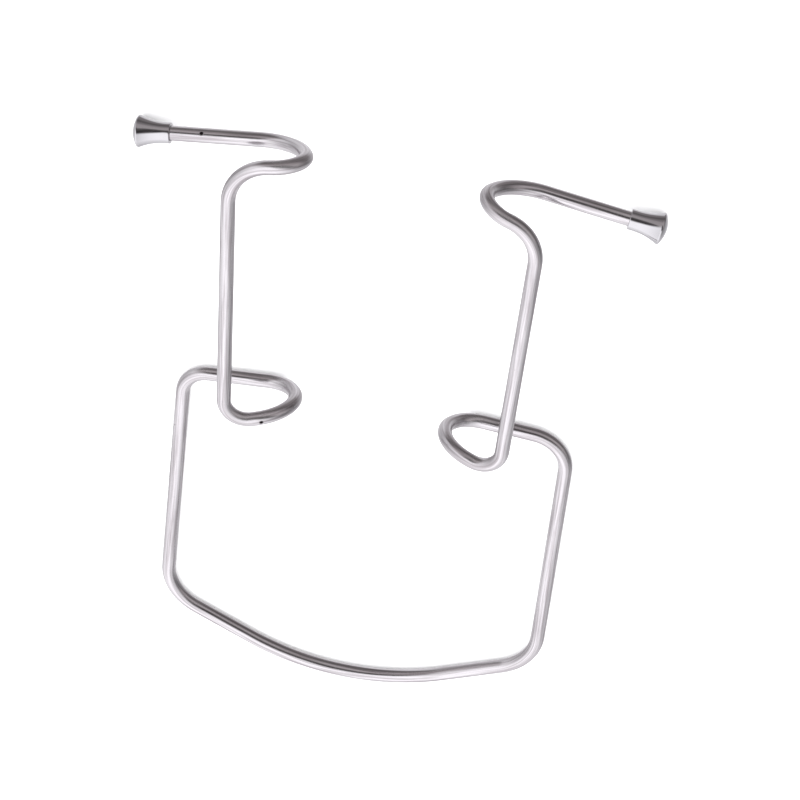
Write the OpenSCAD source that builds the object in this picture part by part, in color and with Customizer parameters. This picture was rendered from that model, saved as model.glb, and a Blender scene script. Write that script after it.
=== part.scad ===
// Self-retaining cheek retractor: one spring wire, bent by hand the same way on
// both sides, with a flared metal cap on each end. The left post leans a little.
//
// It lies on its front: X runs across the face, Y from the chin bow up to the
// caps, and Z from the frame on the table up to the posts that go in the mouth.
// The origin is on the table, under the middle of the whole object.

/* [Wire] */
// Diameter of the spring wire
wire_d = 3; // [2:0.1:3.6]

/* [Frame] */
// Distance between the axes of the two side legs
legs_apart = 82; // [76:1:92]
// Y of the shoulders, where the side legs meet the lower lip hooks
shoulder_y = 4.5; // [1:0.5:5]
// Length from a shoulder down to a corner of the bow, between bend points
side_leg_len = 62.5; // [50:0.5:75]
// How far the point where the bow's two slopes meet lies below the corners
bow_drop = 18.5; // [14:0.5:24]
// Radius of the bend at each shoulder
shoulder_r = 8; // [4:0.5:10]
// Radius of the bend at each corner of the bow
corner_r = 11.5; // [6:0.5:14]
// Radius of the long bend in the middle of the bow
bow_r = 52; // [30:1:60]

/* [Lower lip hooks] */
// X of the bend where a hook leaves the frame
hook_root_x = 19; // [17:0.5:22]
// Y of the bend where a hook leaves the frame
hook_root_y = 6; // [5:0.5:8]
// X of the bend at a hook's inner end
hook_nose_x = 11.5; // [9:0.5:13]
// Y of the bend at a hook's inner end
hook_nose_y = 11; // [9:0.5:13]
// Z of the bend at a hook's inner end
hook_nose_z = 15.5; // [14:0.5:18]
// Radius of the bend where a hook leaves the frame
hook_root_r = 7; // [4:0.5:8]
// Radius of the bend at a hook's inner end
hook_nose_r = 8.5; // [5:0.5:9]

/* [Cheek posts] */
// X of the bend at a post's foot
post_foot_x = 28.5; // [26:0.5:32]
// Y of the bend at a post's foot
post_foot_y = 7.5; // [6:0.5:9]
// Z of the bend at a post's foot
post_foot_z = 19.5; // [18:0.5:23]
// X of the bend at a post's top
post_top_x = 29.5; // [28:0.5:34]
// Y of the bend at a post's top
post_top_y = 66.5; // [62:0.5:70]
// Z of the bend at a post's top
post_top_z = 17; // [15:0.5:20]
// Radius of the bend at a post's foot
post_foot_r = 5; // [4:0.5:6]
// Radius of the bend at a post's top
post_top_r = 9.5; // [7:0.5:9.5]

/* [Upper lip hooks] */
// X of the bend at a hook's outermost tip
hook_tip_x = 15.5; // [14:0.5:17]
// Y of the bend at a hook's outermost tip
hook_tip_y = 72; // [70:0.5:74]
// Z of the bend at a hook's outermost tip
hook_tip_z = 18; // [16:0.5:20]
// X of the bend where a hook turns into its arm
hook_heel_x = 21; // [19:0.5:24]
// Y of the bend where a hook turns into its arm
hook_heel_y = 68; // [66:0.5:70]
// Radius of the bend at a hook's tip
hook_tip_r = 5; // [4:0.5:5.5]
// Radius of the bend where a hook turns into its arm
hook_heel_r = 11.5; // [8:0.5:12]

/* [Left half] */
// How much further out the left post's top stands than the right one's
left_top_out = 2.5; // [-3:0.5:3]
// How much nearer the caps' end the left post's top stands than the right one's
left_top_up = 2.5; // [-3:0.5:3]
// How much nearer the caps' end the left upper hook's tip stands
left_tip_up = 1; // [-2:0.5:2]
// How much longer the left arm is
left_arm_longer = 1; // [-2:0.5:2]
// How much further in, and nearer the bow, the left shoulder stands
left_shoulder_in = 0.4; // [-1:0.1:1]
// Radius of the bend at the left shoulder
left_shoulder_r = 5.5; // [4:0.5:10]

/* [End arms and caps] */
// X of the point where an arm enters its cap
arm_end_x = 45.5; // [43:0.5:50]
// Y of the point where an arm enters its cap
arm_end_y = 64.5; // [62:0.5:67]
// Length of a cap along its arm
cap_len = 7.6; // [6.4:0.1:9]
// Outer diameter of a cap's sleeve
sleeve_d = 4.2; // [4:0.1:5]
// Outer diameter of a cap's rim
rim_d = 6.5; // [6:0.1:8]
// Length of a cap's sleeve before it flares
sleeve_len = 1.2; // [0.5:0.1:2]
// Width of the band around a cap's rim
rim_band = 0.3; // [0.1:0.1:0.6]
// Height of the dome on a cap's end
dome_h = 1; // [0.4:0.1:1.2]
// Depth of the blind socket that holds the wire
socket_depth = 5; // [3:0.1:5]

/* [Spring] */
// Angle by which the bow lets the two halves close, before the hooks meet
close_angle = 12; // [1:1:12]
// Angle by which the bow lets the two halves open
open_angle = 3; // [1:1:6]

/* [Hidden] */
$fn = 64;
// Whether the half being made is the left one.
$left = false;

wire_r = wire_d / 2;
// The frame's wire and the caps' rims rest on the table together.
frame_z = wire_r;
arm_z = rim_d / 2;

leg_x = legs_apart / 2;
corner_y = shoulder_y - side_leg_len;

hook_heel = [hook_heel_x, hook_heel_y, arm_z];
function arm_end() = [arm_end_x + ($left ? left_arm_longer : 0), arm_end_y, arm_z];
function arm_dir() = unit(arm_end() - hook_heel);
// The wire stops a little short of the socket's floor, and slides in freely.
socket_floor_gap = 0.1;
socket_gap = 0.01;
function wire_end() = arm_end() + (socket_depth - socket_floor_gap) * arm_dir();

// Bend points of one half, from the wire's end to the middle of the bow, and
// one more across the middle that gives the bow's bend its far side. The left
// half is made on the right, and mirrored later.
function route() = [
    wire_end(),
    hook_heel,
    [hook_tip_x, hook_tip_y + ($left ? left_tip_up : 0), hook_tip_z],
    [
        post_top_x + ($left ? left_top_out : 0),
        post_top_y + ($left ? left_top_up : 0),
        post_top_z,
    ],
    [post_foot_x, post_foot_y, post_foot_z],
    [hook_nose_x, hook_nose_y, hook_nose_z],
    [hook_root_x, hook_root_y, frame_z],
    [
        leg_x - ($left ? left_shoulder_in : 0),
        shoulder_y - ($left ? left_shoulder_in : 0),
        frame_z,
    ],
    [leg_x, corner_y, frame_z],
    [0, corner_y - bow_drop, frame_z],
    [-leg_x, corner_y, frame_z],
];
function wished_radii() = [
    0, hook_heel_r, hook_tip_r, post_top_r, post_foot_r,
    hook_nose_r, hook_root_r, $left ? left_shoulder_r : shoulder_r,
    corner_r, bow_r, corner_r,
];
HEEL = 1;
TIP = 2;
POST_TOP = 3;
POST_FOOT = 4;
NOSE = 5;
ROOT = 6;
SHOULDER = 7;
CORNER = 8;
BOW = 9;

// ---- Geometry of a bent wire ----

function unit(v) = v / norm(v);
function side_len(i) = norm(route()[i + 1] - route()[i]);
function dir_in(i) = unit(route()[i] - route()[i - 1]);
function dir_out(i) = unit(route()[i + 1] - route()[i]);
function is_bend(i) = i > 0 && i < len(route()) - 1;
// Angle through which the wire turns at a bend point.
function turn(i) = acos(dir_in(i) * dir_out(i));
// Length that a bend of the wished radius takes from each side of its corner.
function wished_setback(i) = is_bend(i) ? wished_radii()[i] * tan(turn(i) / 2) : 0;
// Share of the wished radius that leaves room for the bends next to it.
function room(i) = min(
    1,
    side_len(i - 1) / (wished_setback(i - 1) + wished_setback(i)),
    side_len(i) / (wished_setback(i) + wished_setback(i + 1))
);
function radius(i) = wished_radii()[i] * room(i);
function setback(i) = is_bend(i) ? wished_setback(i) * room(i) : 0;
function bend_start(i) = route()[i] - setback(i) * dir_in(i);
function bend_end(i) = route()[i] + setback(i) * dir_out(i);
// Direction from the start of a bend to its centre.
function inward(i) = unit(dir_out(i) - (dir_out(i) * dir_in(i)) * dir_in(i));

// Moves children so that their X, Y and Z axes lie along three directions.
module place(x_dir, y_dir, z_dir, at) {
    multmatrix([
        [x_dir.x, y_dir.x, z_dir.x, at.x],
        [x_dir.y, y_dir.y, z_dir.y, at.y],
        [x_dir.z, y_dir.z, z_dir.z, at.z],
        [0, 0, 0, 1],
    ])
        children();
}

// The bent stretch at bend point i, or the first share of it.
module bend(i, share = 1) {
    tangent = dir_in(i);
    outward = -inward(i);
    place(outward, tangent, cross(outward, tangent), bend_start(i) - radius(i) * outward)
        rotate_extrude(angle = turn(i) * share)
            translate([radius(i), 0])
                circle(d = wire_d);
}

// The straight stretch between bend points i and i + 1.
module straight(i) {
    stretch(bend_end(i), bend_start(i + 1), wire_d);
}

// The same between two bends of one solid. It reaches a little way into both,
// a hair thinner than they are, so that the three join into one.
module joining_straight(i) {
    lap = 0.05;
    thinner_by = 0.004;
    stretch(
        bend_end(i) - lap * dir_out(i),
        bend_start(i + 1) + lap * dir_out(i),
        wire_d - thinner_by
    );
}

module stretch(from, to, diameter) {
    z_dir = unit(to - from);
    x_dir = unit(cross(abs(z_dir.z) < 0.9 ? [0, 0, 1] : [1, 0, 0], z_dir));
    place(x_dir, cross(z_dir, x_dir), z_dir, from)
        cylinder(d = diameter, h = norm(to - from));
}

// ---- Sub-parts of one half, made on the right ----

// The bow bends about the middle of its wire. The two halves meet there along
// a line, and this notch on each side of the line lets them turn.
module flex_notch() {
    reach = wire_d;
    spare_angle = 0.3;
    half_gap = 0.01;
    inner = reach * tan(close_angle / 2 + spare_angle);
    outer = reach * tan(open_angle / 2 + spare_angle);
    middle_y = bend_middle_y();
    translate([half_gap, middle_y, 0])
        linear_extrude(2 * wire_d)
            polygon([
                [0, 0], [inner, reach], [-reach, reach],
                [-reach, -reach], [outer, -reach],
            ]);
}

// Y of the bow's wire axis in the middle.
function bend_middle_y() = route()[BOW].y + radius(BOW) * (1 / cos(turn(BOW) / 2) - 1);

module bow() {
    color("#b8b6bb")
        difference() {
            union() {
                bend(CORNER);
                joining_straight(CORNER);
                bend(BOW, 0.5);
            }
            flex_notch();
        }
}

module side_leg() {
    color("#c9c8ce") straight(SHOULDER);
}

module lower_hook() {
    color("#b0aeb4") {
        for (i = [POST_FOOT:SHOULDER]) bend(i);
        for (i = [POST_FOOT:ROOT]) joining_straight(i);
    }
}

module cheek_post() {
    color("#cfced4") straight(POST_TOP);
}

module upper_hook() {
    color("#aba9af") {
        for (i = [HEEL:POST_TOP]) bend(i);
        for (i = [HEEL:TIP]) joining_straight(i);
    }
}

module end_arm() {
    color("#bdbbc1") straight(0);
}

// Outline of half a cap: X is the radius, Y runs from the sleeve to the dome.
module cap_outline() {
    sleeve_r = sleeve_d / 2;
    rim_r = rim_d / 2;
    flare_len = cap_len - dome_h - rim_band - sleeve_len;
    flare_rise = rim_r - sleeve_r;
    // The flare is an arc that leaves the sleeve smoothly and ends at the rim.
    flare_r = (flare_rise ^ 2 + flare_len ^ 2) / (2 * flare_rise);
    dome_r = (rim_r ^ 2 + dome_h ^ 2) / (2 * dome_h);
    difference() {
        intersection() {
            square([rim_r, cap_len]);
            translate([0, cap_len - dome_r]) circle(r = dome_r);
        }
        translate([sleeve_r + flare_r, sleeve_len]) circle(r = flare_r);
        translate([sleeve_r, 0]) square([rim_r, sleeve_len]);
        square([wire_r + socket_gap, socket_depth]);
    }
}

module end_cap() {
    y_dir = [0, 0, 1];
    color("#d9d9dd")
        place(cross(y_dir, arm_dir()), y_dir, arm_dir(), arm_end())
            rotate_extrude($fn = 96)
                cap_outline($fn = 180);
}

// ---- The two halves ----

module to_left() {
    mirror([1, 0, 0]) children();
}

module right_bow() { bow(); }
module right_side_leg() { side_leg(); }
module right_lower_hook() { lower_hook(); }
module right_cheek_post() { cheek_post(); }
module right_upper_hook() { upper_hook(); }
module right_end_arm() { end_arm(); }
module right_end_cap() { end_cap(); }

module left_bow() { to_left() bow($left = true); }
module left_side_leg() { to_left() side_leg($left = true); }
module left_lower_hook() { to_left() lower_hook($left = true); }
module left_cheek_post() { to_left() cheek_post($left = true); }
module left_upper_hook() { to_left() upper_hook($left = true); }
module left_end_arm() { to_left() end_arm($left = true); }
module left_end_cap() { to_left() end_cap($left = true); }

left_bow();
left_side_leg();
left_lower_hook();
left_cheek_post();
left_upper_hook();
left_end_arm();
left_end_cap();
right_bow();
right_side_leg();
right_lower_hook();
right_cheek_post();
right_upper_hook();
right_end_arm();
right_end_cap();
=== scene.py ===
import math

import bpy
import numpy as np
from mathutils import Matrix, Vector


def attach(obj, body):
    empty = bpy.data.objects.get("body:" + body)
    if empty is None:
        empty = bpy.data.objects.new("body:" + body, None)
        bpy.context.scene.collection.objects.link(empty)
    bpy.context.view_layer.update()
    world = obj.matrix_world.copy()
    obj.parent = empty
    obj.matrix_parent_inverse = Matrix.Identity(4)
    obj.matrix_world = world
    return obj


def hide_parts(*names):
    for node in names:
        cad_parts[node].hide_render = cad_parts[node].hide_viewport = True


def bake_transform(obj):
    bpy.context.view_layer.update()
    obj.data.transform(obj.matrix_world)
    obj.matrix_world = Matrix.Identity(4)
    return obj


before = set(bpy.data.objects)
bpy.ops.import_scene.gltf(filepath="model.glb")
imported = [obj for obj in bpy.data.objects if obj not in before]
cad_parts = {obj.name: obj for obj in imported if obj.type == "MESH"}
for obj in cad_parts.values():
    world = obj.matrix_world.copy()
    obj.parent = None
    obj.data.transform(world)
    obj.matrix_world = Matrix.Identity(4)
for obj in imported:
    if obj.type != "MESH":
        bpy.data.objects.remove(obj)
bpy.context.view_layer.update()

bl_info = {
    "name": "Wire Cheek Retractor",
    "version": (1, 0, 0),
    "blender": (4, 5, 0),
    "location": "View3D > Sidebar > Retractor",
    "description": "A self-retaining cheek retractor bent from one spring wire, with chromed end caps",
    "category": "Add Mesh",
}

MM = 0.001

LEFT, RIGHT = "left_half", "right_half"
WIRE_NODES = [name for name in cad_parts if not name.endswith("end_cap")]

# Bends that the hand left unlike their mirror images, counted from the cap.
TIP, POST_TOP, SHOULDER = 1, 2, 6


# ---------------------------------------------------------------------------
# Sizes and colours that a user would change
# ---------------------------------------------------------------------------

def linear_colour(hex_code, alpha=1.0):
    """sRGB hex colour as linear RGBA: each channel below 0.04045 is divided by
    12.92, and any other c becomes ((c + 0.055) / 1.055) to the power 2.4."""
    channels = np.array([int(hex_code[i:i + 2], 16) for i in (1, 3, 5)]) / 255
    low = channels / 12.92
    high = ((channels + 0.055) / 1.055) ** 2.4
    return (*np.where(channels <= 0.04045, low, high).tolist(), alpha)


def length(name, description, millimetres):
    """A length property in metres, from a default in millimetres."""
    return bpy.props.FloatProperty(
        name=name, description=description, default=millimetres * MM,
        min=0.0, unit="LENGTH", precision=5,
    )


def place(name, description, x, y, z):
    """A bend point's place in metres, from X, Y and Z in millimetres."""
    return bpy.props.FloatVectorProperty(
        name=name, description=description, size=3, unit="LENGTH", precision=5,
        default=(x * MM, y * MM, z * MM), subtype="TRANSLATION",
    )


def colour(name, description, hex_code):
    """A linear colour property, from a default in sRGB hex."""
    return bpy.props.FloatVectorProperty(
        name=name, description=description, size=4, subtype="COLOR",
        min=0.0, max=1.0, default=linear_colour(hex_code),
    )


class RetractorWireSizes(bpy.types.PropertyGroup):
    """The right half of the wire: its bend points from the cap to the bow."""
    diameter: length("Diameter", "Diameter of the spring wire", 3.0)
    arm_end: place("Arm end", "Where the wire enters its cap", 45.5, 64.5, 3.25)
    hook_heel: place("Hook heel", "Bend from the arm into the upper hook", 21.0, 68.0, 3.25)
    hook_tip: place("Hook tip", "Bend at the upper hook's tip", 15.5, 72.0, 18.0)
    post_top: place("Post top", "Bend at the top of the cheek post", 29.5, 66.5, 17.0)
    post_foot: place("Post foot", "Bend at the foot of the cheek post", 28.5, 7.5, 19.5)
    hook_nose: place("Hook nose", "Bend at the lower hook's inner end", 11.5, 11.0, 15.5)
    hook_root: place("Hook root", "Bend where the lower hook leaves the frame", 19.0, 6.0, 1.5)
    shoulder: place("Shoulder", "Bend from the lower hook into the side leg", 41.0, 4.5, 1.5)
    corner: place("Corner", "Bend from the side leg into the bow", 41.0, -58.0, 1.5)
    bow: place("Bow", "Where the bow's two slopes meet", 0.0, -76.5, 1.5)
    left_tip_shift: place("Left tip shift", "Left tip, off the right one's mirror place", 0.0, 1.0, 0.0)
    left_top_shift: place("Left top shift", "Left top, off the right one's mirror place", 2.5, 2.5, 0.0)
    left_arm_shift: place("Left arm shift", "Left arm end, off the right one's mirror place", 1.0, 0.0, 0.0)
    left_shoulder_shift: place(
        "Left shoulder shift", "Left shoulder, off the right one's mirror place", -0.4, -0.4, 0.0,
    )
    hook_heel_radius: length("Hook heel radius", "Radius of the upper hook's heel", 11.5)
    hook_tip_radius: length("Hook tip radius", "Radius of the upper hook's tip", 5.0)
    post_top_radius: length("Post top radius", "Radius at the top of the post", 9.5)
    post_foot_radius: length("Post foot radius", "Radius at the foot of the post", 5.0)
    hook_nose_radius: length("Hook nose radius", "Radius of the lower hook's nose", 8.5)
    hook_root_radius: length("Hook root radius", "Radius of the lower hook's root", 7.0)
    shoulder_radius: length("Shoulder radius", "Radius of the shoulder", 8.0)
    left_shoulder_radius: length("Left shoulder radius", "Radius of the left shoulder", 5.5)
    corner_radius: length("Corner radius", "Radius of the bow's corner", 11.5)
    bow_radius: length("Bow radius", "Radius of the bow's middle", 52.0)
    flex_reach: length("Flex reach", "Half of the bow's width that takes the bending", 14.0)
    flattening: bpy.props.FloatProperty(
        name="Flattening", description="Share of the diameter lost across the tightest bend",
        default=0.025, min=0.0, max=0.1, subtype="FACTOR",
    )


class RetractorCapSizes(bpy.types.PropertyGroup):
    """One end cap, measured along its arm from where the wire enters."""
    length: length("Length", "Length of the cap with its dome", 7.6)
    sleeve_diameter: length("Sleeve diameter", "Outer diameter of the sleeve", 4.2)
    sleeve_length: length("Sleeve length", "Length before the flare starts", 1.2)
    rim_diameter: length("Rim diameter", "Outer diameter of the rim", 6.5)
    rim_band: length("Rim band", "Width of the band around the rim", 0.3)
    dome_height: length("Dome height", "Height of the dome on the end", 1.0)
    socket_depth: length("Socket depth", "Depth of the blind socket for the wire", 5.0)
    socket_gap: length("Socket gap", "Gap between the wire and the socket", 0.01)
    mouth_radius: length("Mouth radius", "Rounding of the socket's mouth", 0.3)
    edge_radius: length("Edge radius", "Rounding of the sleeve's and flare's edges", 0.11)
    rim_radius: length("Rim radius", "Rounding between the rim and the dome", 0.45)


class RetractorFinish(bpy.types.PropertyGroup):
    """Colours of the metals and of the floor, and the painted shade in the wire's pits."""
    steel: colour("Steel", "Polished stainless steel of the wire", "#DBD8DB")
    steel_shade: colour("Steel shade", "The same where drawing lines hold some haze", "#B2ADB0")
    # Painted shade: this dark colour is laid into each pit as the shade that falls inside it.
    pit: colour("Pit", "Bottom of a pit in the wire", "#2B2628")
    chrome: colour("Chrome", "Bright chrome plate of the caps", "#CFCED1")
    floor: colour("Floor", "Plain floor under the retractor", "#F4F4F5")


# ---------------------------------------------------------------------------
# Surfaces
# ---------------------------------------------------------------------------

def unit(vectors):
    """Each vector divided by its own length."""
    return vectors / np.linalg.norm(vectors, axis=-1, keepdims=True)


def turned(vector, axis, angles):
    """A vector turned about a unit axis by each angle a: v cos a + (axis x v)
    sin a + axis (axis . v)(1 - cos a)."""
    c, s = np.cos(angles)[:, None], np.sin(angles)[:, None]
    return vector * c + np.cross(axis, vector) * s + axis * (axis @ vector) * (1 - c)


def rounded_course(points, radii, straight_step, bend_step):
    """Samples a line through corner points with each corner rounded to an arc.

    A corner that turns by angle t takes a length r tan(t / 2) from each side.
    Its arc is centre + the start's offset turned about the bend's axis by
    angles from 0 to t. The side vector doesn't twist: it stays fixed along a
    straight and turns with each arc. Returns the centres, tangents, side
    vectors, directions to each arc's centre, curvatures and lengths."""
    least_turn = 1e-6
    off_line = [0.12, 0.35, 0.93]  # any direction that no stretch lies along
    points = np.asarray(points, float)
    heading = unit(np.diff(points, axis=0))
    side = unit(np.cross(heading[0], off_line))
    rows = {key: [] for key in ("centre", "tangent", "side", "inward", "curvature")}

    def add(centre, tangent, side, inward, curvature):
        for key, value in zip(rows, (centre, tangent, side, inward)):
            rows[key].append(np.broadcast_to(value, centre.shape))
        rows["curvature"].append(np.full(len(centre), curvature))

    at = points[0]
    for i in range(1, len(points)):
        ahead = heading[i - 1]
        last = i == len(points) - 1
        turn = 0.0 if last else math.acos(np.clip(ahead @ heading[i], -1, 1))
        rounds = turn > least_turn and radii[i] > 0
        setback = radii[i] * math.tan(turn / 2) if rounds else 0.0
        end = points[i] - setback * ahead
        count = max(1, math.ceil(np.linalg.norm(end - at) / straight_step))
        share = np.linspace(0, 1, count, endpoint=False)[:, None]
        add(at + (end - at) * share, ahead, side, np.zeros(3), 0.0)
        if rounds:
            axis = unit(np.cross(ahead, heading[i]))
            inward = np.cross(axis, ahead)
            centre = end + radii[i] * inward
            steps = max(3, math.ceil(turn * radii[i] / bend_step))
            angles = np.linspace(0, turn, steps, endpoint=False)
            toward = turned(inward, axis, angles)
            add(
                centre - radii[i] * toward, turned(ahead, axis, angles),
                turned(side, axis, angles), toward, 1 / radii[i],
            )
            side = turned(side, axis, np.array([turn]))[0]
        elif turn > least_turn:
            axis = unit(np.cross(ahead, heading[i]))
            side = turned(side, axis, np.array([turn]))[0]
        at = end if not rounds else points[i] + setback * heading[i]
    add(points[-1:], heading[-1], side, np.zeros(3), 0.0)
    course = {key: np.concatenate(value) for key, value in rows.items()}
    steps = np.linalg.norm(np.diff(course["centre"], axis=0), axis=1)
    course["length"] = np.concatenate([[0.0], np.cumsum(steps)])
    return course


def closed_skin(name, rings, start_pole, end_pole, attributes):
    """A mesh over a grid of points, closed around and at both ends.

    Point (i, j) of the grid joins (i, j + 1), with j wrapping round, and
    (i + 1, j) into quads. Fans of triangles join the first and last rings to
    the two poles. Each attribute gives a value per grid point, and its means
    over the first and last rings go to the poles."""
    count, around = rings.shape[:2]
    poles = np.array([start_pole, end_pole])
    points = np.concatenate([rings.reshape(-1, 3), poles])
    i, j = np.meshgrid(np.arange(count - 1), np.arange(around), indexing="ij")
    k = (j + 1) % around
    quads = np.stack([i * around + j, i * around + k, (i + 1) * around + k, (i + 1) * around + j], -1)
    first = np.arange(around)
    after = (first + 1) % around
    low_pole = count * around
    base = (count - 1) * around
    start_fan = np.stack([np.full(around, low_pole), after, first], -1)
    end_fan = np.stack([np.full(around, low_pole + 1), base + first, base + after], -1)
    corners = np.concatenate([quads.ravel(), start_fan.ravel(), end_fan.ravel()])
    sizes = np.concatenate([np.full(quads.size // 4, 4), np.full(2 * around, 3)])
    mesh = bpy.data.meshes.new(name)
    mesh.vertices.add(len(points))
    mesh.vertices.foreach_set("co", points.ravel())
    mesh.loops.add(len(corners))
    mesh.loops.foreach_set("vertex_index", corners)
    mesh.polygons.add(len(sizes))
    mesh.polygons.foreach_set("loop_start", np.concatenate([[0], np.cumsum(sizes)[:-1]]))
    mesh.polygons.foreach_set("use_smooth", np.ones(len(sizes), bool))
    for key, values in attributes.items():
        flat = values.reshape(count * around, -1)
        ends = [values[row].reshape(around, -1).mean(axis=0) for row in (0, -1)]
        flat = np.concatenate([flat, ends])
        vector = flat.shape[1] == 3
        layer = mesh.attributes.new(key, "FLOAT_VECTOR" if vector else "FLOAT", "POINT")
        layer.data.foreach_set("vector" if vector else "value", flat.astype(np.float32).ravel())
    mesh.update(calc_edges=True)
    mesh.validate()
    return mesh


def new_piece(name, mesh, material):
    """An object for a finished mesh, with its material."""
    mesh.materials.append(material)
    piece = bpy.data.objects.new(name, mesh)
    bpy.context.scene.collection.objects.link(piece)
    return piece


# ---------------------------------------------------------------------------
# Materials
# ---------------------------------------------------------------------------

def add_node(tree, kind, settings=None, inputs=None):
    """Adds one node, sets its settings, and sets or links its inputs. An input
    that is given as a node's output is linked, and any other is a value."""
    node = tree.nodes.new(kind)
    for key, value in (settings or {}).items():
        setattr(node, key, value)
    for key, value in (inputs or {}).items():
        if isinstance(value, bpy.types.NodeSocket):
            tree.links.new(value, node.inputs[key])
        else:
            node.inputs[key].default_value = value
    return node


def new_material(name):
    """An empty node material with its output, and the tree to build in."""
    material = bpy.data.materials.new(name)
    material.use_nodes = True
    tree = material.node_tree
    tree.nodes.clear()
    return material, tree, add_node(tree, "ShaderNodeOutputMaterial")


def drawn_stainless_wire(finish):
    """Stainless spring wire, drawn through a die and then polished.

    Drawing leaves fine lines along the wire, which spread its reflections
    across it and give them long streaks. Bending roughens the skin a little.
    Coordinates are the wire's own, in millimetres: two across it and one along
    it. Real drawing lines are under 0.05 mm apart, and are drawn here about
    0.5 mm apart, as coarse as they need to show."""
    material, tree, output = new_material("drawn_stainless_spring_wire")
    space = add_node(tree, "ShaderNodeAttribute", {"attribute_name": "wire_space"}).outputs["Vector"]
    strain = add_node(tree, "ShaderNodeAttribute", {"attribute_name": "wire_strain"}).outputs["Fac"]

    line_gap, line_length = 0.5, 16.0
    line_space = add_node(tree, "ShaderNodeVectorMath", {"operation": "MULTIPLY"}, {
        0: space, 1: (1 / line_gap, 1 / line_gap, 1 / line_length),
    }).outputs[0]
    lines = add_node(tree, "ShaderNodeTexNoise", {"noise_dimensions": "3D"}, {
        "Vector": line_space, "Scale": 1.0, "Detail": 3.0, "Roughness": 0.55,
    }).outputs["Fac"]

    hair_gap, hair_length = 0.12, 3.5
    hair_space = add_node(tree, "ShaderNodeVectorMath", {"operation": "MULTIPLY"}, {
        0: space, 1: (1 / hair_gap, 1 / hair_gap, 1 / hair_length),
    }).outputs[0]
    hairs = add_node(tree, "ShaderNodeTexNoise", {"noise_dimensions": "3D"}, {
        "Vector": hair_space, "Scale": 1.0, "Detail": 2.0, "Roughness": 0.6,
    }).outputs["Fac"]

    haze_size = 6.0
    haze = add_node(tree, "ShaderNodeTexNoise", {"noise_dimensions": "3D"}, {
        "Vector": space, "Scale": 1 / haze_size, "Detail": 3.0, "Roughness": 0.6,
    }).outputs["Fac"]

    # Orange-peel skin, faint on the straights and stronger in each bend.
    peel_size = 0.5
    peel = add_node(tree, "ShaderNodeTexNoise", {"noise_dimensions": "3D"}, {
        "Vector": space, "Scale": 1 / peel_size, "Detail": 1.0,
    }).outputs["Fac"]

    # Pits the size of a grain of dirt, far apart, and two that are deeper: one
    # near the left cap and one on the left lower hook. Each pit is a dent and a
    # rougher spot, and its colour is painted dark as the shade inside the dent.
    pit_spacing, pit_radius = 4.0, 0.045
    pit_distance = add_node(tree, "ShaderNodeTexVoronoi", {"feature": "F1"}, {
        "Vector": space, "Scale": 1 / pit_spacing,
    }).outputs["Distance"]
    pits_and_painted_shade = add_node(tree, "ShaderNodeMapRange", {"interpolation_type": "SMOOTHSTEP"}, {
        "Value": pit_distance, "From Min": pit_radius * 0.4, "From Max": pit_radius,
        "To Min": 1.0, "To Max": 0.0,
    }).outputs["Result"]

    deep_pits = (((-0.75, -1.3, 11.4), 0.55), ((0.4, 1.45, 119.8), 0.5))
    for spot, size in deep_pits:
        away = add_node(tree, "ShaderNodeVectorMath", {"operation": "DISTANCE"}, {
            0: space, 1: spot,
        }).outputs["Value"]
        deep = add_node(tree, "ShaderNodeMapRange", {"interpolation_type": "SMOOTHSTEP"}, {
            "Value": away, "From Min": size * 0.5, "From Max": size, "To Min": 1.0, "To Max": 0.0,
        }).outputs["Result"]
        pits_and_painted_shade = add_node(tree, "ShaderNodeMath", {"operation": "MAXIMUM"}, {
            0: pits_and_painted_shade, 1: deep,
        }).outputs[0]

    shade = add_node(tree, "ShaderNodeMapRange", {}, {
        "Value": lines, "From Min": 0.42, "From Max": 0.66, "To Min": 0.0, "To Max": 1.0,
    }).outputs["Result"]
    metal = add_node(tree, "ShaderNodeMix", {"data_type": "RGBA"}, {
        "Factor": shade, "A": finish.steel, "B": finish.steel_shade,
    }).outputs["Result"]
    # Painted shade: inside each pit the colour goes to the dark pit colour, standing in for the shade in
    # the dent.
    base = add_node(tree, "ShaderNodeMix", {"data_type": "RGBA"}, {
        "Factor": pits_and_painted_shade, "A": metal, "B": finish.pit,
    }).outputs["Result"]

    polish = add_node(tree, "ShaderNodeMapRange", {}, {
        "Value": hairs, "From Min": 0.3, "From Max": 0.7, "To Min": 0.08, "To Max": 0.15,
    }).outputs["Result"]
    hazed = add_node(tree, "ShaderNodeMath", {"operation": "MULTIPLY_ADD"}, {
        0: haze, 1: 0.08, 2: polish,
    }).outputs[0]
    strained = add_node(tree, "ShaderNodeMath", {"operation": "MULTIPLY_ADD"}, {
        0: strain, 1: 0.14, 2: hazed,
    }).outputs[0]
    roughness = add_node(tree, "ShaderNodeMath", {"operation": "MULTIPLY_ADD"}, {
        0: pits_and_painted_shade, 1: 0.4, 2: strained,
    }).outputs[0]

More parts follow.
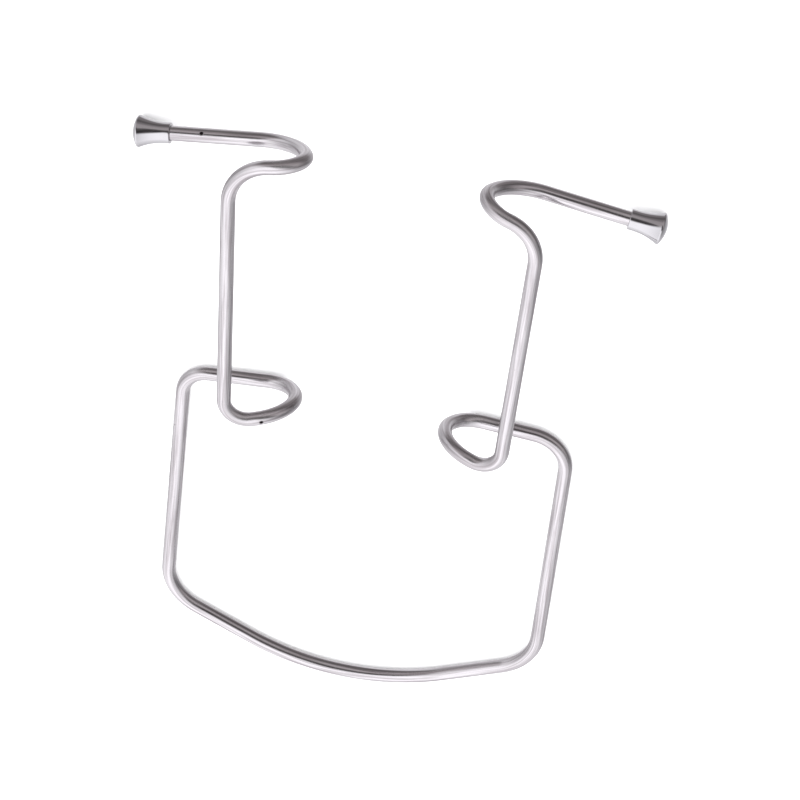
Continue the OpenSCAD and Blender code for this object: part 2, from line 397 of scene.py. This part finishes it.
    line_bump = add_node(tree, "ShaderNodeBump", {}, {
        "Strength": 0.6, "Distance": 0.003 * MM, "Height": lines,
    }).outputs["Normal"]
    hair_bump = add_node(tree, "ShaderNodeBump", {}, {
        "Strength": 0.5, "Distance": 0.0012 * MM, "Height": hairs, "Normal": line_bump,
    }).outputs["Normal"]
    peel_share = add_node(tree, "ShaderNodeMath", {"operation": "MAXIMUM"}, {
        0: strain, 1: 0.5,
    }).outputs[0]
    peel_height = add_node(tree, "ShaderNodeMath", {"operation": "MULTIPLY"}, {
        0: peel, 1: peel_share,
    }).outputs[0]
    peel_bump = add_node(tree, "ShaderNodeBump", {}, {
        "Strength": 0.6, "Distance": 0.009 * MM, "Height": peel_height, "Normal": hair_bump,
    }).outputs["Normal"]
    pit_bump = add_node(tree, "ShaderNodeBump", {"invert": True}, {
        "Strength": 0.8, "Distance": 0.03 * MM, "Height": pits_and_painted_shade, "Normal": peel_bump,
    }).outputs["Normal"]

    shader = add_node(tree, "ShaderNodeBsdfPrincipled", {}, {
        "Base Color": base, "Metallic": 1.0, "Roughness": roughness, "Normal": pit_bump,
    })
    tree.links.new(shader.outputs["BSDF"], output.inputs["Surface"])
    return material


def bright_chrome_plate(finish):
    """Chrome plate over a turned and buffed brass cap.

    It is close to a mirror. Faint rings from turning run around it, 0.2 mm
    apart so that they show, and handling leaves a little haze. Coordinates are
    the cap's own, in millimetres: two across its axis and one along it."""
    material, tree, output = new_material("bright_chrome_plate")
    space = add_node(tree, "ShaderNodeAttribute", {"attribute_name": "cap_space"}).outputs["Vector"]
    ring_gap = 0.2
    ring_space = add_node(tree, "ShaderNodeVectorMath", {"operation": "MULTIPLY"}, {
        0: space, 1: (0.05, 0.05, 1 / ring_gap),
    }).outputs[0]
    rings = add_node(tree, "ShaderNodeTexNoise", {"noise_dimensions": "3D"}, {
        "Vector": ring_space, "Scale": 1.0, "Detail": 2.0,
    }).outputs["Fac"]
    haze_size = 1.6
    haze = add_node(tree, "ShaderNodeTexNoise", {"noise_dimensions": "3D"}, {
        "Vector": space, "Scale": 1 / haze_size, "Detail": 4.0, "Roughness": 0.6,
    }).outputs["Fac"]
    roughness = add_node(tree, "ShaderNodeMapRange", {}, {
        "Value": haze, "From Min": 0.35, "From Max": 0.75, "To Min": 0.03, "To Max": 0.12,
    }).outputs["Result"]
    ring_bump = add_node(tree, "ShaderNodeBump", {}, {
        "Strength": 0.3, "Distance": 0.0015 * MM, "Height": rings,
    }).outputs["Normal"]
    buffed = add_node(tree, "ShaderNodeBump", {}, {
        "Strength": 0.4, "Distance": 0.01 * MM, "Height": haze, "Normal": ring_bump,
    }).outputs["Normal"]
    shader = add_node(tree, "ShaderNodeBsdfPrincipled", {}, {
        "Base Color": finish.chrome, "Metallic": 1.0, "Roughness": roughness, "Normal": buffed,
    })
    tree.links.new(shader.outputs["BSDF"], output.inputs["Surface"])
    return material


def matt_floor_paper(finish):
    """Matt white paper: even, with no gloss."""
    material, tree, output = new_material("matt_floor_paper")
    shader = add_node(tree, "ShaderNodeBsdfPrincipled", {}, {
        "Base Color": finish.floor, "Roughness": 0.9, "Specular IOR Level": 0.0,
    })
    tree.links.new(shader.outputs["BSDF"], output.inputs["Surface"])
    return material


# ---------------------------------------------------------------------------
# Pieces
# ---------------------------------------------------------------------------

def arm_line(sizes, side):
    """Where the arm of one side (-1 left, 1 right) enters its cap, and the
    direction of the arm there: from the heel to the arm's end."""
    end = np.array(sizes.arm_end) + (side < 0) * np.array(sizes.left_arm_shift)
    mirror = np.array([side, 1, 1])
    return end * mirror, unit((end - np.array(sizes.hook_heel)) * mirror)


def bend_points(sizes, caps):
    """Bend points and radii from the left wire end to the right one. The left
    half is the right half mirrored in X, with a few points shifted as the hand
    bent them, and the wire's ends stop a little short of the sockets' floors."""
    stop_gap = 0.1 * MM
    bends = [
        (sizes.hook_heel, sizes.hook_heel_radius),
        (sizes.hook_tip, sizes.hook_tip_radius),
        (sizes.post_top, sizes.post_top_radius),
        (sizes.post_foot, sizes.post_foot_radius),
        (sizes.hook_nose, sizes.hook_nose_radius),
        (sizes.hook_root, sizes.hook_root_radius),
        (sizes.shoulder, sizes.shoulder_radius),
        (sizes.corner, sizes.corner_radius),
    ]
    radii = [0.0] + [radius for _, radius in bends]
    right = np.array([tuple(point) for point, _ in bends])
    left = right.copy()
    left[TIP] += sizes.left_tip_shift
    left[POST_TOP] += sizes.left_top_shift
    left[SHOULDER] += sizes.left_shoulder_shift
    left = left * (-1, 1, 1)
    ends = [
        mouth + (caps.socket_depth - stop_gap) * direction
        for mouth, direction in (arm_line(sizes, -1), arm_line(sizes, 1))
    ]
    points = np.concatenate([ends[:1], left, [tuple(sizes.bow)], right[::-1], ends[1:]])
    left_radii = radii[:-2] + [sizes.left_shoulder_radius, sizes.corner_radius]
    return points, left_radii + [sizes.bow_radius] + radii[::-1]


class RETRACTOR_OT_spring_wire(bpy.types.Operator):
    """Make the one bent wire: bow, side legs, lip hooks, cheek posts and arms"""
    bl_idname = "retractor.spring_wire"
    bl_label = "Spring wire"

    def execute(self, context):
        sizes = context.scene.retractor_wire
        points, radii = bend_points(sizes, context.scene.retractor_cap)
        course = rounded_course(points, radii, straight_step=1.2 * MM, bend_step=0.45 * MM)
        around = 48
        chamfer = 0.2 * MM
        wire_radius = sizes.diameter / 2
        # A bend flattens the wire a little towards its centre, in proportion to
        # its curvature, and eases in over one diameter before and after it.
        tightest = 1 / min(r for r in radii if r > 0)
        strain = self.eased(course["curvature"] / tightest, course["length"], sizes.diameter)
        angle = np.linspace(0, 2 * np.pi, around, endpoint=False)
        end_distance = np.minimum(course["length"], course["length"][-1] - course["length"])
        radius = wire_radius - np.maximum(chamfer - end_distance, 0)
        up = np.cross(course["tangent"], course["side"])
        spoke = (
            np.cos(angle)[None, :, None] * course["side"][:, None]
            + np.sin(angle)[None, :, None] * up[:, None]
        )
        inward = course["inward"][:, None]
        toward_centre = (spoke * inward).sum(-1, keepdims=True) * inward
        spoke = spoke - sizes.flattening * strain[:, None, None] * toward_centre
        rings = course["centre"][:, None] + radius[:, None, None] * spoke
        wire_space = np.stack(np.broadcast_arrays(
            wire_radius / MM * np.cos(angle)[None],
            wire_radius / MM * np.sin(angle)[None],
            course["length"][:, None] / MM,
        ), -1)
        mesh = closed_skin(
            "spring_wire", rings, course["centre"][0], course["centre"][-1],
            {"wire_space": wire_space, "wire_strain": np.repeat(strain, around).reshape(-1, around)},
        )
        finish = drawn_stainless_wire(context.scene.retractor_finish)
        wire = new_piece("spring_wire", mesh, finish)
        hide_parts(*WIRE_NODES)
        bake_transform(wire)
        return {"FINISHED"}

    @staticmethod
    def eased(values, lengths, width):
        """Values along the wire, each replaced by its mean over a width: the
        running integral is read half a width ahead and behind."""
        middle = (values[1:] + values[:-1]) / 2 * np.diff(lengths)
        total = np.concatenate([[0.0], np.cumsum(middle)])
        ahead = np.interp(lengths + width / 2, lengths, total)
        behind = np.interp(lengths - width / 2, lengths, total)
        return (ahead - behind) / width


class RETRACTOR_OT_end_caps(bpy.types.Operator):
    """Turn the two flared end caps and push them on the wire's ends"""
    bl_idname = "retractor.end_caps"
    bl_label = "End caps"

    def execute(self, context):
        cap = context.scene.retractor_cap
        wire = context.scene.retractor_wire
        finish = bright_chrome_plate(context.scene.retractor_finish)
        profile = self.profile(cap, wire.diameter / 2)
        around = 128
        angle = np.linspace(0, 2 * np.pi, around, endpoint=False)
        for side, body in ((-1, LEFT), (1, RIGHT)):
            mouth, axis = arm_line(wire, side)
            across = unit(np.cross([0, 0, 1], axis))
            upward = np.cross(axis, across)
            spoke = np.cos(angle)[:, None] * across + np.sin(angle)[:, None] * upward
            centre = mouth + profile[:, 1:2] * axis
            rings = centre[:, None] + profile[:, :1, None] * spoke[None]
            cap_space = np.stack(np.broadcast_arrays(
                profile[:, :1] * np.cos(angle) / MM,
                profile[:, :1] * np.sin(angle) / MM,
                profile[:, 1:2] / MM,
            ), -1)
            name = body.replace("half", "cap")
            mesh = closed_skin(
                name, rings[1:-1], centre[0], centre[-1], {"cap_space": cap_space[1:-1]},
            )
            piece = new_piece(name, mesh, finish)
            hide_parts(body.replace("half", "end_cap"))
            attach(piece, body)
        return {"FINISHED"}

    @staticmethod
    def profile(cap, wire_radius):
        """Radius and place along the axis, from the socket's floor out over
        the sleeve, the flare and the rim to the top of the dome.

        The flare is an arc that starts parallel to the axis: with rise h over
        length l, its radius is (h h + l l) / 2 h. The dome is an arc whose
        radius is (r r + d d) / 2 d for rim radius r and dome height d."""
        bore = wire_radius + cap.socket_gap
        sleeve, rim = cap.sleeve_diameter / 2, cap.rim_diameter / 2
        dome_start = cap.length - cap.dome_height
        flare_end = dome_start - cap.rim_band
        rise, run = rim - sleeve, flare_end - cap.sleeve_length
        flare_radius = (rise ** 2 + run ** 2) / (2 * rise)
        dome_radius = (rim ** 2 + cap.dome_height ** 2) / (2 * cap.dome_height)
        along = np.linspace(0, run, 27)
        flare = np.stack([
            sleeve + flare_radius - np.sqrt(flare_radius ** 2 - along ** 2),
            cap.sleeve_length + along,
        ], -1)
        tilt = np.linspace(math.asin(rim / dome_radius), 0, 15)
        dome = np.stack([
            dome_radius * np.sin(tilt),
            cap.length - dome_radius * (1 - np.cos(tilt)),
        ], -1)
        corners = np.concatenate([
            [[0, cap.socket_depth], [bore, cap.socket_depth], [bore, 0], [sleeve, 0]],
            flare, dome,
        ])
        radii = np.zeros(len(corners))
        mouth, edge, flare_edge = 2, 3, 3 + len(flare)
        radii[mouth] = cap.mouth_radius
        radii[[edge, flare_edge]] = cap.edge_radius
        radii[flare_edge + 1] = cap.rim_radius
        course = rounded_course(
            np.pad(corners, ((0, 0), (0, 1))), radii,
            straight_step=0.25 * MM, bend_step=0.03 * MM,
        )
        return course["centre"][:, :2]


class RETRACTOR_OT_stage(bpy.types.Operator):
    """Lay the floor, and set the lights, the surroundings and the camera"""
    bl_idname = "retractor.stage"
    bl_label = "Stage"

    def execute(self, context):
        self.floor(context)
        self.surroundings(context)
        self.softbox(context)
        self.camera(context)
        context.scene.view_settings.view_transform = "Standard"
        return {"FINISHED"}

    @staticmethod
    def floor(context):
        """A flat square sheet at the height of the table."""
        half = 2.0  # metres
        mesh = bpy.data.meshes.new("floor")
        corners = [(-half, -half, 0), (half, -half, 0), (half, half, 0), (-half, half, 0)]
        mesh.from_pydata(corners, [], [(0, 1, 2, 3)])
        mesh.materials.append(matt_floor_paper(context.scene.retractor_finish))
        sheet = bpy.data.objects.new("floor", mesh)
        sheet.visible_glossy = False
        context.scene.collection.objects.link(sheet)

    @staticmethod
    def surroundings(context):
        """A pale studio with a dark doorway beyond the caps, which the metal
        mirrors, and even white light for the floor. Along a ray (x, y, z), the
        brightness overhead is a - (x + b) (x + b), dimmer near the floor and on
        the far wall. It fades into the doorway as y + c x grows, and in there
        it follows a ramp over z."""
        brightest, lean, slant = 1.42, 0.12, 0.35
        floor_white = (2.2, 2.2, 2.2, 1.0)
        lilac = (1.0, 0.988, 1.012, 1.0)
        heights = (-1.0, -0.7, -0.4, -0.1, 0.12, 0.42, 0.56, 0.76, 1.0)
        greys = (0.3, 0.24, 0.13, 0.24, 0.4, 0.42, 0.12, 0.04, 0.25)
        world = bpy.data.worlds.new("studio")
        world.use_nodes = True
        tree = world.node_tree
        tree.nodes.clear()
        ray = add_node(tree, "ShaderNodeTexCoord").outputs["Generated"]
        parts = add_node(tree, "ShaderNodeSeparateXYZ", {}, {"Vector": ray}).outputs
        off_centre = add_node(tree, "ShaderNodeMath", {"operation": "ADD"}, {
            0: parts["X"], 1: lean,
        }).outputs[0]
        sideways = add_node(tree, "ShaderNodeMath", {"operation": "MULTIPLY"}, {
            0: off_centre, 1: off_centre,
        }).outputs[0]
        overhead = add_node(tree, "ShaderNodeMath", {"operation": "MULTIPLY_ADD"}, {
            0: sideways, 1: -1.0, 2: brightest,
        }).outputs[0]
        near_floor = add_node(tree, "ShaderNodeMapRange", {"interpolation_type": "SMOOTHSTEP"}, {
            "Value": parts["Z"], "From Min": -0.55, "From Max": 0.05, "To Min": 0.62, "To Max": 1.0,
        }).outputs["Result"]
        far_wall = add_node(tree, "ShaderNodeMapRange", {}, {
            "Value": parts["Y"], "From Min": -1.0, "From Max": -0.75, "To Min": 0.7, "To Max": 1.0,
        }).outputs["Result"]
        walls = add_node(tree, "ShaderNodeMath", {"operation": "MULTIPLY"}, {
            0: near_floor, 1: far_wall,
        }).outputs[0]
        bright = add_node(tree, "ShaderNodeMath", {"operation": "MULTIPLY"}, {
            0: overhead, 1: walls,
        }).outputs[0]
        toward_door = add_node(tree, "ShaderNodeMath", {"operation": "MULTIPLY_ADD"}, {
            0: parts["X"], 1: slant, 2: parts["Y"],
        }).outputs[0]
        share = add_node(tree, "ShaderNodeMapRange", {"interpolation_type": "SMOOTHSTEP"}, {
            "Value": toward_door, "From Min": 0.25, "From Max": 0.54, "To Min": 0.0, "To Max": 1.0,
        }).outputs["Result"]
        height = add_node(tree, "ShaderNodeMapRange", {}, {
            "Value": parts["Z"], "From Min": -1.0, "From Max": 1.0, "To Min": 0.0, "To Max": 1.0,
        }).outputs["Result"]
        doorway = add_node(tree, "ShaderNodeValToRGB", {}, {"Fac": height})
        doorway.color_ramp.interpolation = "EASE"
        elements = doorway.color_ramp.elements
        while len(elements) < len(heights):
            elements.new(0.5)
        for element, level, grey in zip(elements, heights, greys):
            element.position = (level + 1) / 2
            element.color = (grey * 1.06, grey * 0.99, grey * 0.98, 1.0)
        mixed = add_node(tree, "ShaderNodeMix", {"data_type": "RGBA"}, {
            "Factor": share, "A": bright, "B": doorway.outputs["Color"],
        }).outputs["Result"]
        tinted = add_node(tree, "ShaderNodeMix", {"data_type": "RGBA", "blend_type": "MULTIPLY"}, {
            "Factor": 1.0, "A": mixed, "B": lilac,
        }).outputs["Result"]
        mirrored = add_node(tree, "ShaderNodeLightPath").outputs["Is Glossy Ray"]
        shown = add_node(tree, "ShaderNodeMix", {"data_type": "RGBA"}, {
            "Factor": mirrored, "A": floor_white, "B": tinted,
        }).outputs["Result"]
        background = add_node(tree, "ShaderNodeBackground", {}, {"Color": shown})
        output = add_node(tree, "ShaderNodeOutputWorld")
        tree.links.new(background.outputs[0], output.inputs["Surface"])
        context.scene.world = world

    @staticmethod
    def softbox(context):
        """A large soft light above and beyond the retractor."""
        light = bpy.data.lights.new("softbox", "AREA")
        light.shape = "DISK"
        light.size = 1.8
        light.energy = 2.0
        lamp = bpy.data.objects.new("softbox", light)
        lamp.location = (-0.15, -0.35, 1.1)
        lamp.rotation_euler = (-lamp.location).to_track_quat("-Z", "Y").to_euler()
        lamp.visible_glossy = False
        context.scene.collection.objects.link(lamp)

    @staticmethod
    def camera(context):
        """A long lens, looking down from beyond the caps and turned so that
        the caps come out at the top."""
        aim = Vector((4.7, 5.4, -0.8)) * MM
        distance = 727 * MM
        azimuth, elevation, roll = (math.radians(a) for a in (7.36, 50.49, 163.43))
        back = Vector((
            math.sin(azimuth) * math.cos(elevation),
            math.cos(azimuth) * math.cos(elevation),
            math.sin(elevation),
        ))
        level_right = Vector((0, 0, 1)).cross(back).normalized()
        level_up = back.cross(level_right)
        up = level_up * math.cos(roll) + level_right * math.sin(roll)
        right = up.cross(back)
        turn = Matrix((right, up, back)).transposed().to_4x4()
        lens = bpy.data.cameras.new("camera")
        lens.lens = 157.5
        lens.sensor_width = 36.0
        lens.clip_start = 0.01
        camera = bpy.data.objects.new("camera", lens)
        camera.matrix_world = Matrix.Translation(aim + back * distance) @ turn
        context.scene.collection.objects.link(camera)
        context.scene.camera = camera


class RETRACTOR_PT_panel(bpy.types.Panel):
    """Sizes, colours and the makers of the cheek retractor"""
    bl_idname = "RETRACTOR_PT_panel"
    bl_label = "Cheek Retractor"
    bl_space_type = "VIEW_3D"
    bl_region_type = "UI"
    bl_category = "Retractor"

    def draw(self, context):
        for group in (
            context.scene.retractor_wire,
            context.scene.retractor_cap,
            context.scene.retractor_finish,
        ):
            box = self.layout.box()
            for key in group.__annotations__:
                box.prop(group, key)
        for maker in MAKERS:
            self.layout.operator(maker.bl_idname)


MAKERS = (RETRACTOR_OT_stage, RETRACTOR_OT_spring_wire, RETRACTOR_OT_end_caps)
GROUPS = {
    "retractor_wire": RetractorWireSizes,
    "retractor_cap": RetractorCapSizes,
    "retractor_finish": RetractorFinish,
}


def register():
    for name, group in GROUPS.items():
        bpy.utils.register_class(group)
        setattr(bpy.types.Scene, name, bpy.props.PointerProperty(type=group))
    for maker in MAKERS:
        bpy.utils.register_class(maker)
    bpy.utils.register_class(RETRACTOR_PT_panel)


def unregister():
    bpy.utils.unregister_class(RETRACTOR_PT_panel)
    for maker in reversed(MAKERS):
        bpy.utils.unregister_class(maker)
    for name, group in reversed(GROUPS.items()):
        delattr(bpy.types.Scene, name)
        bpy.utils.unregister_class(group)


def main():
    """Registers the classes, and makes the stage and every piece."""
    register()
    bpy.ops.retractor.stage()
    bpy.ops.retractor.spring_wire()
    bpy.ops.retractor.end_caps()


if __name__ == "__main__":
    main()
